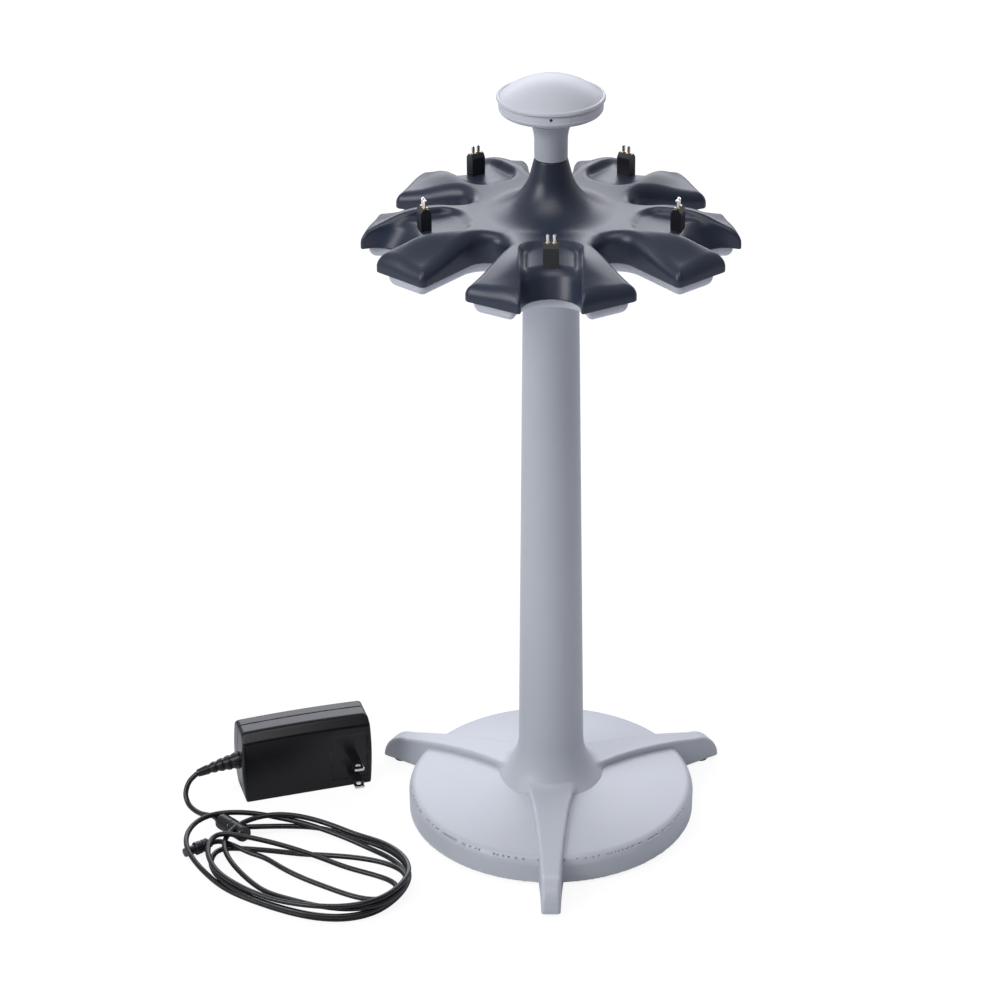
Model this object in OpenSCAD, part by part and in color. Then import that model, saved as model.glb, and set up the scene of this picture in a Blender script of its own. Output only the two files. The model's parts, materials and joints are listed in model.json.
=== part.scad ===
// Charging carousel for hand-held pipettes: a five-station rotor that spins on a
// mast, over a round weighted base with three legs, and its plug-in power supply.
// +Z is up, the stand's axis is Z, station 1 faces -Y, and the table is z = 0.

/* [Base] */
// Radius of the round base cover
base_r = 87.5; // [84:0.5:92]
// Height of the base cover's flat top above the table
base_h = 22.8; // [21:0.2:24]
// Radius of the rounded top edge of the base cover
base_edge_r = 11; // [8:0.5:12]
// Wall of the base cover
base_wall = 2.6; // [2:0.1:3.2]
// Thickness of the rubber sheet under the base
pad_t = 2; // [1.5:0.1:2.5]
// Thickness of the steel ballast ring
ballast_h = 12; // [8:0.5:13]

/* [Legs] */
// Distance from the axis to the tip of a leg
leg_reach = 119.5; // [114:0.5:126]
// Width of a leg where it leaves the hub
leg_root_w = 26; // [22:0.5:30]
// Width of a leg at its tip
leg_tip_w = 12; // [10:0.5:14]
// Height of a leg's back above the base cover at the hub
leg_root_h = 6.9; // [6:0.1:8]
// Height of a leg's back above the base cover where the cover's edge begins
leg_over = 1.6; // [1.2:0.1:2.5]
// Length of a leg's rounded nose
leg_nose = 16; // [12:0.5:18]
// Lean of a leg's sides, in degrees
leg_draft = 8; // [4:0.5:10]

/* [Column] */
// Outer radius of the column at the top of its flared foot
column_low_r = 19.7; // [19:0.1:21]
// Outer radius of the column at its top
column_top_r = 15.8; // [15:0.1:17]
// Radius of the column's flared foot
column_foot_r = 32; // [30:0.5:34]
// Height of the column's top above the table
column_top = 370; // [340:1:400]
// Wall of the column
column_wall = 2.4; // [2:0.1:3]

/* [Rotor] */
// Distance from the axis to the outermost corner of a prong
tip_r = 108; // [104:0.5:112]
// Distance from the axis to the corner of a prong beside the gap
heel_r = 100; // [97:0.5:102]
// Width of the notch that takes a pipette
notch_w = 30.6; // [28:0.2:32]
// Distance from the axis to the closed end of the notch
notch_end = 80.7; // [79:0.1:84]
// Width of the gap between two stations at the rim
gap_mouth = 26.8; // [24:0.2:28]
// Radius of the rounded inner end of that gap
gap_end_r = 11.6; // [10.4:0.1:12]
// Depth of the pocket behind the notch
pocket_depth = 4.4; // [3.5:0.1:5]
// Wall of the rotor's mouldings
shell_wall = 2.2; // [1.8:0.1:2.4]
// Radius of the rounded edges of the prongs
prong_edge_r = 4.6; // [3.5:0.1:5.5]
// Height of the rotor's skirt at the tips, from its lower edge to its top plane
skirt_h = 15.8; // [14:0.1:17]
// Height of the cone above the prongs' top plane
cone_h = 29; // [26:0.5:32]
// Depth of the pale cover under the rotor
cover_h = 7.7; // [7:0.1:9]

/* [Contacts] */
// Width of a contact block, across the station
block_w = 8.7; // [8:0.1:10]
// Depth of a contact block, along the station
block_d = 6; // [5.5:0.1:7]
// Height of a contact block above the pocket's floor
block_h = 16.2; // [14:0.1:18]
// Distance from the axis to the middle of a contact block
block_at = 73.6; // [72:0.1:75]
// Distance between the two spring pins of a block
pin_pitch = 3.6; // [3.4:0.1:4]
// Radius of a spring pin
pin_r = 0.95; // [0.8:0.05:1]
// Height that a pin stands above its block
pin_out = 5; // [4:0.1:6]
// Distance that a pin can be pushed down
pin_travel = 1.6; // [1:0.1:2]

/* [Knob] */
// Radius of the knob at its rim
knob_r = 29.7; // [27:0.1:32]
// Height of the knob's dome above its rim
dome_h = 16.5; // [14:0.1:18]
// Height of the neck between the rotor and the knob
neck_h = 20.5; // [18:0.5:24]
// Radius of the neck at its lower end
neck_r = 9.4; // [9:0.1:10]

/* [Shaft] */
// Radius of the tie rod through the whole stand
rod_r = 2.5; // [2:0.1:2.6]
// Outer radius of the fixed axle tube in the rotor
axle_r = 6.2; // [6:0.1:6.4]
// Bore radius of the axle tube
axle_bore = 4.6; // [4.5:0.1:4.8]
// Radial running clearance of the bushes on the axle tube
running_gap = 0.05; // [0.03:0.01:0.08]
// Wall of the bushes
bush_wall = 1.3; // [1.1:0.1:1.4]

/* [Power supply] */
// Length of the adapter
adapter_l = 80; // [70:1:90]
// Depth of the adapter from its blade face to its back
adapter_d = 28; // [26:0.5:32]
// Height of the adapter as it stands on its long side
adapter_h = 45; // [42:0.5:50]
// Diameter of the cord
cord_d = 3.2; // [3:0.1:3.4]
// Length of the blades outside the adapter
blade_out = 16; // [15:0.5:18]

/* [Hidden] */
$fn = 96;

// small clearances
fit = 0.15;          // between pieces that are fixed to each other
cut = 1;             // overshoot of a cutting tool past the face it cuts
far = 160;           // larger than half of the rotor
tall = 60;           // higher than the rotor

// colours
pale = [0.79, 0.81, 0.86];
column_grey = [0.64, 0.66, 0.70];
knob_white = [0.85, 0.86, 0.90];
rotor_navy = [0.16, 0.18, 0.24];
block_black = [0.05, 0.05, 0.07];
steel = [0.62, 0.63, 0.65];
brass = [0.80, 0.64, 0.30];
rubber = [0.08, 0.08, 0.09];
cord_black = [0.06, 0.06, 0.07];
board_green = [0.10, 0.35, 0.20];

// base
base_gap = 2;                            // cover's lower edge above the table
plate_t = 2;                             // bottom plate
plate_z = pad_t;
ballast_z = plate_z + plate_t;
plate_r = base_r - base_wall - fit;
inlet_l = 14;
ballast_r = base_r - inlet_l - 7.5;      // clear of the power inlet
screw_at = ballast_r - 8;                // bottom plate screws, from the axis
screw_r = 1.5;
screw_head_r = 2.8;
screw_head_h = 1.2;
screw_boss_r = 3.6;
hub_r = column_foot_r - 1;               // hub of the leg spider
hub_t = 1.2;
hub_z = base_h;
leg_crest = [16, base_h + leg_root_h];   // highest point of a leg's back, seen from its side
leg_edge_x = base_r - base_edge_r;
leg_back_r = pow(leg_edge_x - leg_crest[0], 2) / 2 / (leg_root_h - leg_over);
leg_nose_r = leg_crest[1] - pow(leg_reach - leg_nose - leg_crest[0], 2) / 2 / leg_back_r - base_gap;
leg_taper = atan((leg_root_w - leg_tip_w) / 2 / (leg_reach - column_foot_r));
inlet_z = plate_z + plate_t + 4.6;       // axis of the power inlet
inlet_r = 4;
jack_bore_r = 2.8;
jack_pin_r = 1;

// column
foot_z = hub_z + hub_t;                  // the column stands on the hub
foot_rim_h = 1.7;
flare_r = 34;                            // radius of the concave flare
flare_z = foot_z + foot_rim_h
    + sqrt(pow(flare_r, 2) - pow(column_low_r + flare_r - column_foot_r, 2));
collar_h = 20;
collar_r = column_top_r - column_wall;

// rotor heights, from the column's top
washer_t = 1.5;
lift = 0.3;                              // running clearance under the rotor
cover_z = column_top + washer_t + lift;
skirt_z = cover_z + cover_h;
plane_z = skirt_z + skirt_h;             // prong plane where it meets the plate
cone_z = plane_z + cone_h;               // rotor's upper end
floor_z = plane_z - pocket_depth;        // pocket floor
plane_x = 46;                            // where plane_z is measured
plane_tilt = 6;                          // fall of the prong plane, degrees
plate_rise = 1.4;                        // plate's height above plane_z near the cone
plate_edge_z = plane_z - 0.4;
plate_edge_r = 56;
cone_top_r = 9.6;
cone_slope = 0.332;                      // radius gained per height lost
cone_fillet = 13;

// rotor outline, station along +X
stations = 5;
step = 360 / stations;
notch_hw = notch_w / 2;
tip = [sqrt(tip_r * tip_r - notch_hw * notch_hw), notch_hw];
heel_a = step / 2 - asin(gap_mouth / 2 / heel_r);
heel = heel_r * [cos(heel_a), sin(heel_a)];
rim_psi = atan2(tip[0] - heel[0], heel[1] - tip[1]);     // outward normal of the rim edge
gap_end_at = 60.3;                       // centre of the gap's rounded end
to_heel = [heel_r * cos(step / 2 - heel_a) - gap_end_at, gap_mouth / 2];
gap_lean = atan2(to_heel[1], to_heel[0]) - asin(gap_end_r / norm(to_heel));
gap_psi = step / 2 - gap_lean + 90;      // outward normal of the gap's wall
pocket_at = 48.5;                        // inner end of the pocket
pocket_corner = 9;
pad_from = 40;                           // the plate carries the rotor inside this radius
boss_at = 34;                            // cover screws
boss_r = 3.6;
bush_r = axle_r + running_gap + bush_wall;
hub_tube_z = plane_z + 2;
board_t = 1.6;
board_z = skirt_z + 1.5;
cover_floor = 2.2;
cover_screw_l = board_z + board_t - cover_z + 6.5;
cover_edge_r = 5;
cover_set_in = 0.5;                      // the cover stands this far inside the skirt

// slip ring
drum_z = board_z + 1;
drum_h = 13;
drum_r = axle_r + 2;
ring_h = 3;
ring_t = 1.2;
ring_pitch = 6;

// contacts
stem_w = block_w - 1.6;
stem_d = block_d - 1.2;
barrel_wall = 0.4;
barrel_gap = 0.05;
barrel_r = pin_r + barrel_gap + barrel_wall;
block_top = floor_z + block_h;
barrel_h = 10;
pin_in = 6;                              // length of a pin inside its barrel
spring_h = barrel_h - 1 - pin_in - pin_travel - 0.3;

// knob, from the rotor's top
neck_z = cone_z + 0.3;
knob_z = neck_z + neck_h;
knob_rim_z = knob_z + 15.5;
cap_wall = 2;
cap_rim = 2;
dome_steps = 22;
knob_skirt_r = knob_r - 0.6;
knob_seat_z = knob_rim_z - cap_rim;      // the cap sits here
knob_lip_z = knob_seat_z - 1.5;
knob_dish_z = knob_seat_z - 5.5;
knob_dish_w = 4.3;
knob_wall = 2.4;
led_r = 1.1;
led_z = knob_z + 10.5;
led_board_y = 21;                        // back face of the LED board, from the axis
led_board_t = 1.2;
axle_top = knob_z + 4;
nut_h = 4;
nut_r = 4.6;
rod_low = plate_z + plate_t + 0.5;
low_washer_t = 1.2;
low_washer_r = 9;
low_washer_z = base_h - base_wall - low_washer_t;
top_washer_t = 1;

// lead from the power inlet up through the column to the slip ring and the LED
lead_r = 0.55;
lead_y = rod_r + lead_r + 0.2;
lead_z = low_washer_z + low_washer_t / 2;

// power supply
adapter_at = [-188.8, 2.3];              // front lower corner at its left end
adapter_turn = 17.4;
adapter_bevel = 7;
adapter_end = 2;                         // bevel of the short ends
adapter_split = 12;
blade_pitch = 12.7;
blade_w = 6.35;
blade_t = 1.5;
blade_x = 71;
blade_mid_z = 16;
relief_z = 24;
relief_l = 28;
relief_droop = 12;
coil_at = [-151, -66];
coil_turn = -38;
coil_len = 160;
coil_w = 102;
coil_hole = [82, 20];                    // open middle of the heap
coil_hole_y = -12;
coil_h = 11;
cord_sides = 8;
ferrite_at = [-196, -31];
ferrite_turn = -44;
ferrite_r = 6.5;
ferrite_l = 24;
plug_at = [-206, -49];
plug_turn = 216;
plug_r = 4.8;
plug_l = 18;
lead_in = [[-219, 8, 18], [-224, 6, 13], [-226, 2, 7], [-224, -3, 3], [-220, -8, 1.8],
    [-215, -13, 2.2], [-210, -18, 4.5], [-206, -22, 6]];
lead_out = [[-171, -63, 3], [-180, -58, 3.4], [-188, -53, 4], [-195, -49, 4.5], [-201, -47, 4.8],
    [-206, -49, 4.8]];

// ---------------------------------------------------------------- helpers

module ring(r_out, r_in, z, h) {
    translate([0, 0, z])
        difference() {
            cylinder(r = r_out, h = h);
            translate([0, 0, -cut])
                cylinder(r = r_in, h = h + 2 * cut);
        }
}

// places its children at station k, counted from the one that faces -Y
module at_station(k) {
    rotate([0, 0, -90 + k * step])
        children();
}

module each_station() {
    for (k = [0 : stations - 1])
        at_station(k)
            children();
}

function plane_at(x, tilt, z) = z - (x - plane_x) * tan(tilt);

// ---------------------------------------------------------------- base

module base_pad() {
    color(rubber)
        cylinder(r = plate_r - 4, h = pad_t);
}

module screw_spots() {
    for (a = [30, 150, 270])
        rotate([0, 0, a])
            translate([screw_at, 0, 0])
                children();
}

module bottom_plate() {
    color(steel)
        difference() {
            translate([0, 0, plate_z])
                cylinder(r = plate_r, h = plate_t);
            screw_spots()
                translate([0, 0, plate_z - cut]) {
                    cylinder(r = screw_r + fit, h = plate_t + 2 * cut);
                    cylinder(r = screw_head_r + fit, h = cut + screw_head_h);
                }
        }
}

module plate_screws() {
    color(steel)
        screw_spots()
            translate([0, 0, plate_z]) {
                cylinder(r = screw_head_r, h = screw_head_h);
                cylinder(r = screw_r, h = base_h - base_wall - plate_z - 1);
            }
}

module ballast_ring() {
    color(steel)
        difference() {
            ring(ballast_r, 12, ballast_z, ballast_h);
            screw_spots()
                translate([0, 0, ballast_z - cut])
                    cylinder(r = screw_boss_r + fit, h = ballast_h + 2 * cut);
        }
}

module base_profile(inset) {
    r = base_r - inset;
    h = base_h - inset;
    e = base_edge_r - inset;
    translate([r - e, h - e])
        circle(r = e);
    polygon([[0, base_gap - cut], [r, base_gap - cut], [r, h - e], [r - e, h - e], [r - e, h],
        [0, h]]);
}

module base_cover() {
    color(pale)
        difference() {
            rotate_extrude(convexity = 4)
                intersection() {
                    difference() {
                        base_profile(0);
                        base_profile(base_wall);
                    }
                    translate([0, base_gap])
                        square([base_r, base_h]);
                }
            translate([0, 0, base_gap - cut])
                cylinder(r = axle_bore, h = base_h);
            inlet_place()
                translate([0, 0, -inlet_l])
                    cylinder(r = inlet_r + fit, h = inlet_l + 8);
        }
    color(pale)
        screw_spots()
            ring(screw_boss_r, screw_r, plate_z + plate_t + 0.3,
                base_h - base_wall / 2 - plate_z - plate_t - 0.3);
}

// ---------------------------------------------------------------- legs

// outline of a leg seen from its side: an arched back and a round nose
module leg_side() {
    end = leg_reach - leg_nose_r;
    intersection() {
        union() {
            translate([end, base_gap])
                circle(r = leg_nose_r);
            intersection() {
                translate([leg_crest[0], leg_crest[1] - leg_back_r])
                    circle(r = leg_back_r, $fn = 720);
                square([end + leg_nose_r / 4, leg_crest[1]]);
            }
        }
        translate([0, base_gap])
            square([leg_reach, leg_crest[1]]);
    }
}

// everything on the inner side of a leg's +Y wall, which leans in towards the top
module leg_wall() {
    translate([column_foot_r, leg_root_w / 2, base_h])
        rotate([0, 0, -leg_taper])
            rotate([leg_draft, 0, 0])
                translate([-far, -far, -far])
                    cube([2 * far, far, 2 * far]);
}

module leg() {
    intersection() {
        rotate([90, 0, 0])
            linear_extrude(2 * leg_root_w, center = true)
                leg_side();
        leg_wall();
        mirror([0, 1, 0])
            leg_wall();
    }
}

module each_leg() {
    for (a = [-90, 30, 150])
        rotate([0, 0, a])
            children();
}

module foot_spider() {
    color(pale)
        difference() {
            union() {
                translate([0, 0, hub_z])
                    cylinder(r = hub_r, h = hub_t);
                each_leg()
                    leg();
            }
            // the legs lie on the base cover and reach round its edge
            translate([0, 0, -cut])
                rotate_extrude()
                    translate([0, cut])
                        union() {
                            base_profile(0);
                            square([base_r, base_h - base_edge_r]);
                        }
            // seat of the column's foot
            rotate_extrude()
                column_profile(-fit, foot_z);
            translate([0, 0, -cut])
                cylinder(r = axle_bore, h = tall);
        }
}

module leg_pads() {
    color(rubber)
        each_leg()
            translate([leg_reach - 10, 0, 0])
                cylinder(r = 4.2, h = base_gap);
}

// ---------------------------------------------------------------- power inlet

module inlet_place() {
    translate([0, base_r - 0.4, inlet_z])
        rotate([-90, 0, 0])
            children();
}

module dc_inlet() {
    color(block_black)
        inlet_place() {
            difference() {
                translate([0, 0, -inlet_l])
                    cylinder(r = inlet_r, h = inlet_l);
                translate([0, 0, 1.6 - inlet_l])
                    cylinder(r = jack_bore_r, h = inlet_l);
            }
            translate([0, 0, 1 - inlet_l])
                cylinder(r = jack_pin_r, h = inlet_l - 2);
        }
}

module power_lead() {
    inlet_y = base_r - 0.4 - inlet_l;
    color(cord_black) {
        translate([0, lead_y, lead_z])
            cylinder(r = lead_r, h = axle_top - lead_z);
        translate([0, lead_y, lead_z])
            sphere(r = lead_r);
        translate([0, lead_y, lead_z])
            rotate([-90, 0, 0])
                cylinder(r = lead_r, h = inlet_y - lead_y - 2);
        translate([0, inlet_y - 2, lead_z])
            sphere(r = lead_r);
        translate([0, inlet_y - 2, inlet_z])
            cylinder(r = lead_r, h = lead_z - inlet_z);
        translate([0, inlet_y - 2, inlet_z])
            rotate([-90, 0, 0])
                cylinder(r = lead_r, h = 2);
    }
}

// ---------------------------------------------------------------- column

// outline of the column, moved in by its wall for the bore
module column_profile(inset, low) {
    difference() {
        polygon([[0, low], [column_foot_r - inset, low],
            [column_foot_r - inset, flare_z], [column_low_r - inset, flare_z],
            [column_top_r - inset, column_top], [0, column_top]]);
        translate([column_low_r + flare_r, flare_z])
            circle(r = flare_r + inset, $fn = 160);
    }
}

module column() {
    color(column_grey)
        difference() {
            rotate_extrude(convexity = 4)
                column_profile(0, foot_z);
            rotate_extrude(convexity = 4)
                intersection() {
                    column_profile(column_wall, foot_z);
                    translate([0, foot_z - cut])
                        square([column_foot_r, column_top - collar_h - foot_z]);
                }
            translate([0, 0, foot_z - cut])
                cylinder(r = column_foot_r - column_wall, h = cut + 0.01);
            translate([0, 0, column_top - collar_h - cut - 0.01])
                cylinder(r = collar_r, h = collar_h + 2 * cut);
        }
}

module top_collar() {
    color(pale)
        difference() {
            ring(collar_r, axle_bore, column_top - collar_h, collar_h);
            translate([0, 0, column_top - collar_h / 2])
                cylinder(r = axle_r, h = collar_h);
        }
}

// ---------------------------------------------------------------- shaft

module mast_rod() {
    color(steel)
        translate([0, 0, rod_low])
            cylinder(r = rod_r, h = axle_top + top_washer_t + nut_h + 1 - rod_low);
}

module hex_nut(z) {
    translate([0, 0, z])
        difference() {
            cylinder(r = nut_r, h = nut_h, $fn = 6);
            translate([0, 0, -cut])
                cylinder(r = rod_r, h = nut_h + 2 * cut);
        }
}

module rod_nuts() {
    color(steel) {
        hex_nut(low_washer_z - nut_h);
        hex_nut(axle_top + top_washer_t);
    }
}

module rod_washers() {
    color(steel) {
        difference() {
            ring(low_washer_r, rod_r, low_washer_z, low_washer_t);
            translate([0, lead_y, 0])
                cylinder(r = lead_r + fit, h = base_h);
            translate([-lead_r - fit, lead_y, 0])
                cube([2 * (lead_r + fit), low_washer_r, base_h]);
        }
        ring(7, rod_r, axle_top, top_washer_t);
    }
}

module axle_tube() {
    color(steel)
        ring(axle_r, axle_bore, column_top - collar_h / 2, axle_top - column_top + collar_h / 2);
}

// ---------------------------------------------------------------- slip ring

module slip_ring_drum() {
    color(pale)
        ring(drum_r, axle_r, drum_z, drum_h);
}

module slip_rings() {
    color(brass)
        for (k = [0, 1])
            ring(drum_r + ring_t, drum_r, drum_z + 2 + k * ring_pitch, ring_h);
}

module brush_holder() {
    color(block_black)
        rotate([0, 0, 90])
            translate([drum_r + ring_t + 3, -5, board_z + board_t])
                cube([9, 10, 11.5]);
}

module brushes() {
    color(brass)
        rotate([0, 0, 90])
            for (k = [0, 1])
                translate([drum_r + ring_t + 0.1, 0, drum_z + 2 + ring_h / 2 + k * ring_pitch])
                    rotate([0, 90, 0])
                        cylinder(r = 1.2, h = 2.9);
}

module thrust_washer() {
    color(brass)
        ring(collar_r - 1.4, axle_r + 0.1, column_top, washer_t);
}

// ---------------------------------------------------------------- knob

module neck_sleeve() {
    color(column_grey)
        rotate_extrude()
            polygon([[axle_r + 0.1, neck_z], [neck_r, neck_z], [neck_r + 0.9, neck_z + 3],
                [neck_r + 1.9, knob_z - 3.5], [neck_r + 4.4, knob_z],
                [axle_r + 0.1, knob_z]]);
}

module knob_base() {
    color(pale)
        difference() {
            rotate_extrude(convexity = 4)
                polygon([[axle_r + 0.1, knob_z], [knob_skirt_r - knob_dish_w, knob_z + 3],
                    [knob_skirt_r - 0.5, knob_dish_z], [knob_skirt_r, knob_lip_z],
                    [knob_skirt_r, knob_seat_z], [knob_skirt_r - knob_wall, knob_seat_z],
                    [knob_skirt_r - knob_wall - 0.4, knob_dish_z],
                    [knob_skirt_r - knob_dish_w - 1.6, knob_z + 5],
                    [axle_r + 3, knob_z + 2.5], [axle_r + 3, axle_top],
                    [axle_r + 0.1, axle_top]]);
            translate([0, -led_board_y, led_z])
                rotate([90, 0, 0])
                    cylinder(r = led_r, h = knob_r);
        }
}

// height of the dome at radius r, a squashed round cap that falls away at its rim
function dome(r, radius, h) = h * pow(max(0, 1 - pow(r / radius, 2)), 0.58);
function dome_line(radius, h) = [for (k = [0 : dome_steps])
    let (r = radius * sin(90 * k / dome_steps)) [r, dome(r, radius, h)]];

// half section of a dome on a short straight rim
module cap_section(radius, h, rim, low) {
    polygon(concat([for (p = dome_line(radius, h)) [p[0], p[1] + rim]],
        [[radius, low], [0, low]]));
}

module knob_cap() {
    color(knob_white)
        rotate_extrude(convexity = 4)
            translate([0, knob_rim_z - cap_rim])
                difference() {
                    cap_section(knob_r, dome_h, cap_rim, 0);
                    cap_section(knob_r - cap_wall, dome_h - cap_wall, cap_rim, -cut);
                }
}

module led_board() {
    color(board_green)
        translate([-5, -led_board_y - led_board_t, knob_z + 5.2])
            cube([10, led_board_t, 8]);
}

module led_lens() {
    y = led_board_y + led_board_t;
    color([0.2, 0.3, 0.25])
        translate([0, -y, led_z])
            rotate([90, 0, 0])
                cylinder(r = led_r, h = knob_skirt_r + 0.2 - y);
}

// ---------------------------------------------------------------- rotor

// half-space with one rounded edge: wall at x = 0, top line of the given slope through the origin
module edge_profile(slope, inset, rho) {
    n = sqrt(1 + slope * slope);
    r = max(rho - inset, 0.4);
    c = [-r, -slope * r - r * n];
    t = c + r * [-slope, 1] / n;
    translate([-inset, -slope * inset - inset * n]) {
        translate(c)
            circle(r = r, $fn = 48);
        polygon([[-far, -far], [0, -far], [0, c[1]], c, t, [-far, -slope * far]]);
    }
}

// one wall of a station, through plan point p with outward normal psi
module edge_slab(p, psi, tilt, z, inset, rho) {
    rise = atan(tan(tilt) * sin(psi));
    translate([p[0], p[1], plane_at(p[0], tilt, z)])
        rotate([0, 0, psi])
            rotate([rise, 0, 0])
                rotate([90, 0, 0])
                    linear_extrude(2 * far, center = true)
                        edge_profile(-tan(tilt) * cos(psi) * cos(rise), inset, rho);
}

// the pair of prongs of one station as one rounded kite, above the plane z = low
module station_kite(tilt, z, low, inset, rho) {
    intersection() {
        edge_slab(tip, rim_psi, tilt, z, inset, rho);
        edge_slab([tip[0], -tip[1]], -rim_psi, tilt, z, inset, rho);
        edge_slab(heel, gap_psi, tilt, z, inset, rho);
        edge_slab([heel[0], -heel[1]], -gap_psi, tilt, z, inset, rho);
        translate([pad_from - 6, -far / 2, low])
            cube([far, far, tall]);
    }
}

// trumpet that opens the gap's rounded inner end
module gap_trumpet(z, inset, rho) {
    r = max(rho - inset, 0.4);
    g = gap_end_r + inset;
    top = z - inset;
    rotate([0, 0, step / 2])
        translate([gap_end_at, 0, 0])
            rotate_extrude($fn = 48) {
                translate([0, top - 40])
                    square([g, 60]);
                difference() {
                    translate([0, top - r])
                        square([g + r, 20]);
                    translate([g + r, top - r])
                        circle(r = r);
                }
            }
}

module notch_2d(grow) {
    translate([notch_end + notch_hw, 0])
        circle(r = notch_hw + grow);
    translate([notch_end + notch_hw, -notch_hw - grow])
        square([far, 2 * (notch_hw + grow)]);
}

module pocket_2d(grow) {
    c = pocket_corner + grow;
    x = pocket_at - grow;
    w = notch_hw + grow;
    for (s = [-1, 1])
        translate([x + c, s * (w - c)])
            circle(r = c);
    translate([x, c - w])
        square([far, 2 * (w - c)]);
    translate([x + c, -w])
        square([far, 2 * w]);
}

// cone, concave fillet and plate, moved in by the wall for the hollow
module rotor_centre(low, inset) {
    plate_in = plane_z + plate_rise - inset;
    plate_out = plate_edge_z - inset;
    c_z = plate_in + cone_fillet + inset;
    lean = atan(cone_slope);
    c_r = cone_top_r - inset + (cone_z - c_z) * cone_slope + (cone_fillet + inset) / cos(lean);
    rotate_extrude($fn = 120)
        difference() {
            polygon([[0, low], [plate_edge_r, low], [plate_edge_r, plate_out], [c_r, plate_in],
                [c_r, c_z], [c_r - (cone_fillet + inset) / cos(lean), c_z],
                [cone_top_r - inset, cone_z], [0, cone_z]]);
            translate([c_r, c_z])
                circle(r = cone_fillet + inset);
        }
}

// the rotor as a solid lump above z = low, moved in by inset
module rotor_lump(low, inset) {
    difference() {
        union() {
            rotor_centre(low, inset);
            difference() {
                each_station()
                    station_kite(plane_tilt, plane_z, low, inset, prong_edge_r);
                translate([0, 0, low - cut])
                    cylinder(r = pad_from, h = tall);
            }
        }
        each_station()
            gap_trumpet(plate_edge_z + 0.3, inset, prong_edge_r);
    }
}

// crossing point of two plan lines, each x cos(a) + y sin(a) = d
function meet(a, da, b, db) =
    [da * sin(b) - db * sin(a), db * cos(a) - da * cos(b)] / sin(b - a);

// plan of a station's hollow, as a kite moved in from the station's own edges
module kite_2d(inset) {
    d_rim = tip * [cos(rim_psi), sin(rim_psi)] - inset;
    d_gap = heel * [cos(gap_psi), sin(gap_psi)] - inset;
    nose = meet(rim_psi, d_rim, -rim_psi, d_rim);
    side = meet(rim_psi, d_rim, gap_psi, d_gap);
    root = meet(gap_psi, d_gap, 180, -pad_from);
    polygon([nose, side, root, [root[0], -root[1]], [side[0], -side[1]]]);
}

module rotor_hollow() {
    low = skirt_z - cut;
    difference() {
        union() {
            rotor_centre(low, shell_wall);
            each_station()
                intersection() {
                    translate([0, 0, low])
                        linear_extrude(tall)
                            kite_2d(shell_wall);
                    translate([plane_x, 0, plane_z - shell_wall])
                        rotate([0, plane_tilt, 0])
                            translate([-far / 2, -far / 2, -50])
                                cube([far, far, 50]);
                }
        }
        each_station() {
            rotate([0, 0, step / 2])
                translate([gap_end_at, 0, low - cut])
                    cylinder(r = gap_end_r + shell_wall, h = tall);
            translate([0, 0, floor_z - shell_wall])
                linear_extrude(tall)
                    pocket_2d(shell_wall);
            translate([0, 0, low - cut])
                linear_extrude(tall)
                    notch_2d(shell_wall);
            translate([boss_at, 0, board_z + board_t])
                cylinder(r = boss_r, h = tall);
        }
        translate([0, 0, hub_tube_z])
            cylinder(r = bush_r + shell_wall, h = tall);
    }
}

module rotor_shell() {
    color(rotor_navy)
        difference() {
            rotor_lump(skirt_z, 0);
            rotor_hollow();
            each_station() {
                translate([0, 0, floor_z])
                    linear_extrude(tall)
                        pocket_2d(0);
                translate([0, 0, skirt_z - cut])
                    linear_extrude(tall)
                        notch_2d(0);
                translate([block_at, 0, floor_z - 5])
                    cube([stem_d + 2 * fit, stem_w + 2 * fit, 20], center = true);
                translate([boss_at, 0, board_z])
                    cylinder(r = screw_r, h = 11);
            }
            translate([0, 0, skirt_z - cut])
                cylinder(r = bush_r, h = 2 * tall);
        }
}

// ---------------------------------------------------------------- rotor cover

module cover_lump() {
    low = -skirt_z;
    mirror([0, 0, 1])
        difference() {
            union() {
                translate([0, 0, low])
                    cylinder(r = plate_edge_r, h = cover_h);
                difference() {
                    each_station()
                        station_kite(0, -cover_z, low, cover_set_in, cover_edge_r);
                    translate([0, 0, low - cut])
                        cylinder(r = pad_from, h = tall);
                }
            }
            each_station()
                gap_trumpet(-cover_z, cover_set_in, cover_edge_r);
        }
}

module cover_hollow() {
    low = cover_z + cover_floor;
    edge = cover_floor + cover_set_in;
    difference() {
        union() {
            translate([0, 0, low])
                cylinder(r = plate_edge_r, h = cover_h);
            each_station()
                translate([0, 0, low])
                    linear_extrude(cover_h)
                        kite_2d(edge);
        }
        each_station() {
            rotate([0, 0, step / 2])
                translate([gap_end_at, 0, low - cut])
                    cylinder(r = gap_end_r + edge, h = 20);
            translate([0, 0, low - cut])
                linear_extrude(tall)
                    notch_2d(edge);
        }
        translate([0, 0, low - cut])
            cylinder(r = bush_r + cover_floor, h = 20);
    }
}

module rotor_cover() {
    color(pale)
        difference() {
            union() {
                difference() {
                    cover_lump();
                    cover_hollow();
                }
                // bosses that the contact board rests on
                each_station()
                    translate([boss_at, 0, cover_z + 1])
                        cylinder(r = boss_r, h = board_z - cover_z - 1);
            }
            each_station() {
                translate([0, 0, cover_z - cut])
                    linear_extrude(tall)
                        notch_2d(cover_set_in);
                translate([boss_at, 0, cover_z - cut]) {
                    cylinder(r = screw_r + fit, h = tall);
                    cylinder(r = screw_head_r + fit, h = cut + 2.4);
                }
            }
            translate([0, 0, cover_z - cut])
                cylinder(r = bush_r, h = tall);
        }
}

module cover_screws() {
    color(steel)
        each_station()
            translate([boss_at, 0, cover_z + 0.6]) {
                cylinder(r = screw_head_r, h = 1.8);
                cylinder(r = screw_r, h = cover_screw_l);
            }
}

// ---------------------------------------------------------------- bushes and board

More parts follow.
